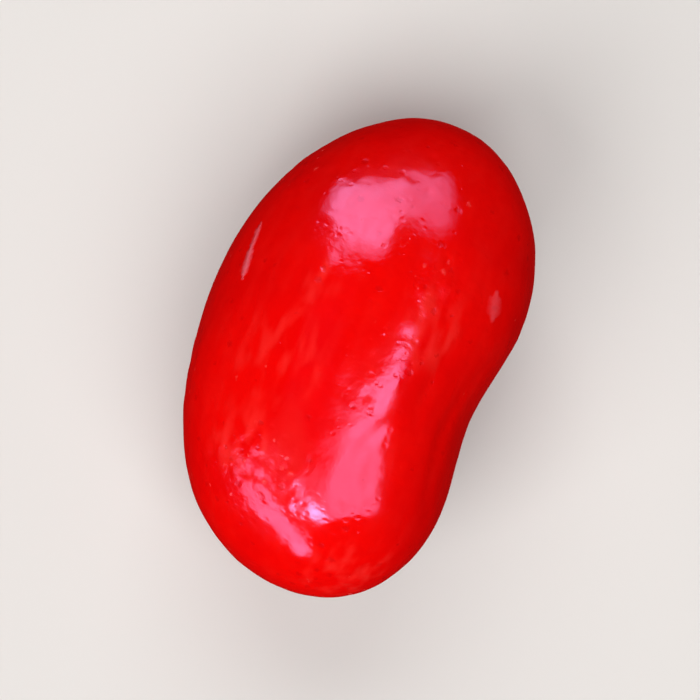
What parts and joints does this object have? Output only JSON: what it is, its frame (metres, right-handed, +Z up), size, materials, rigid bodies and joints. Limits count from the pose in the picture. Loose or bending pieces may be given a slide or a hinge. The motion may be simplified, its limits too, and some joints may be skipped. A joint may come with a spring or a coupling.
{
  "type": "jelly bean",
  "caption": "Plump, slightly bent kidney-shaped sweet with a smooth glossy red sugar shell, lying on its side on a small flat spot.",
  "frame": {"origin": "middle of the bean's box in plan, on the flat spot that it lies on", "axes": "+X along the bean's length, +Y out of its round back (the hollowed waist faces -Y), +Z up through its thickness"},
  "size_m": [0.0166, 0.0102, 0.0089],
  "materials": {
    "sugar_shell": null
  },
  "bodies": {
    "root": {"bean": "sugar_shell"}
  },
  "joints": []
}
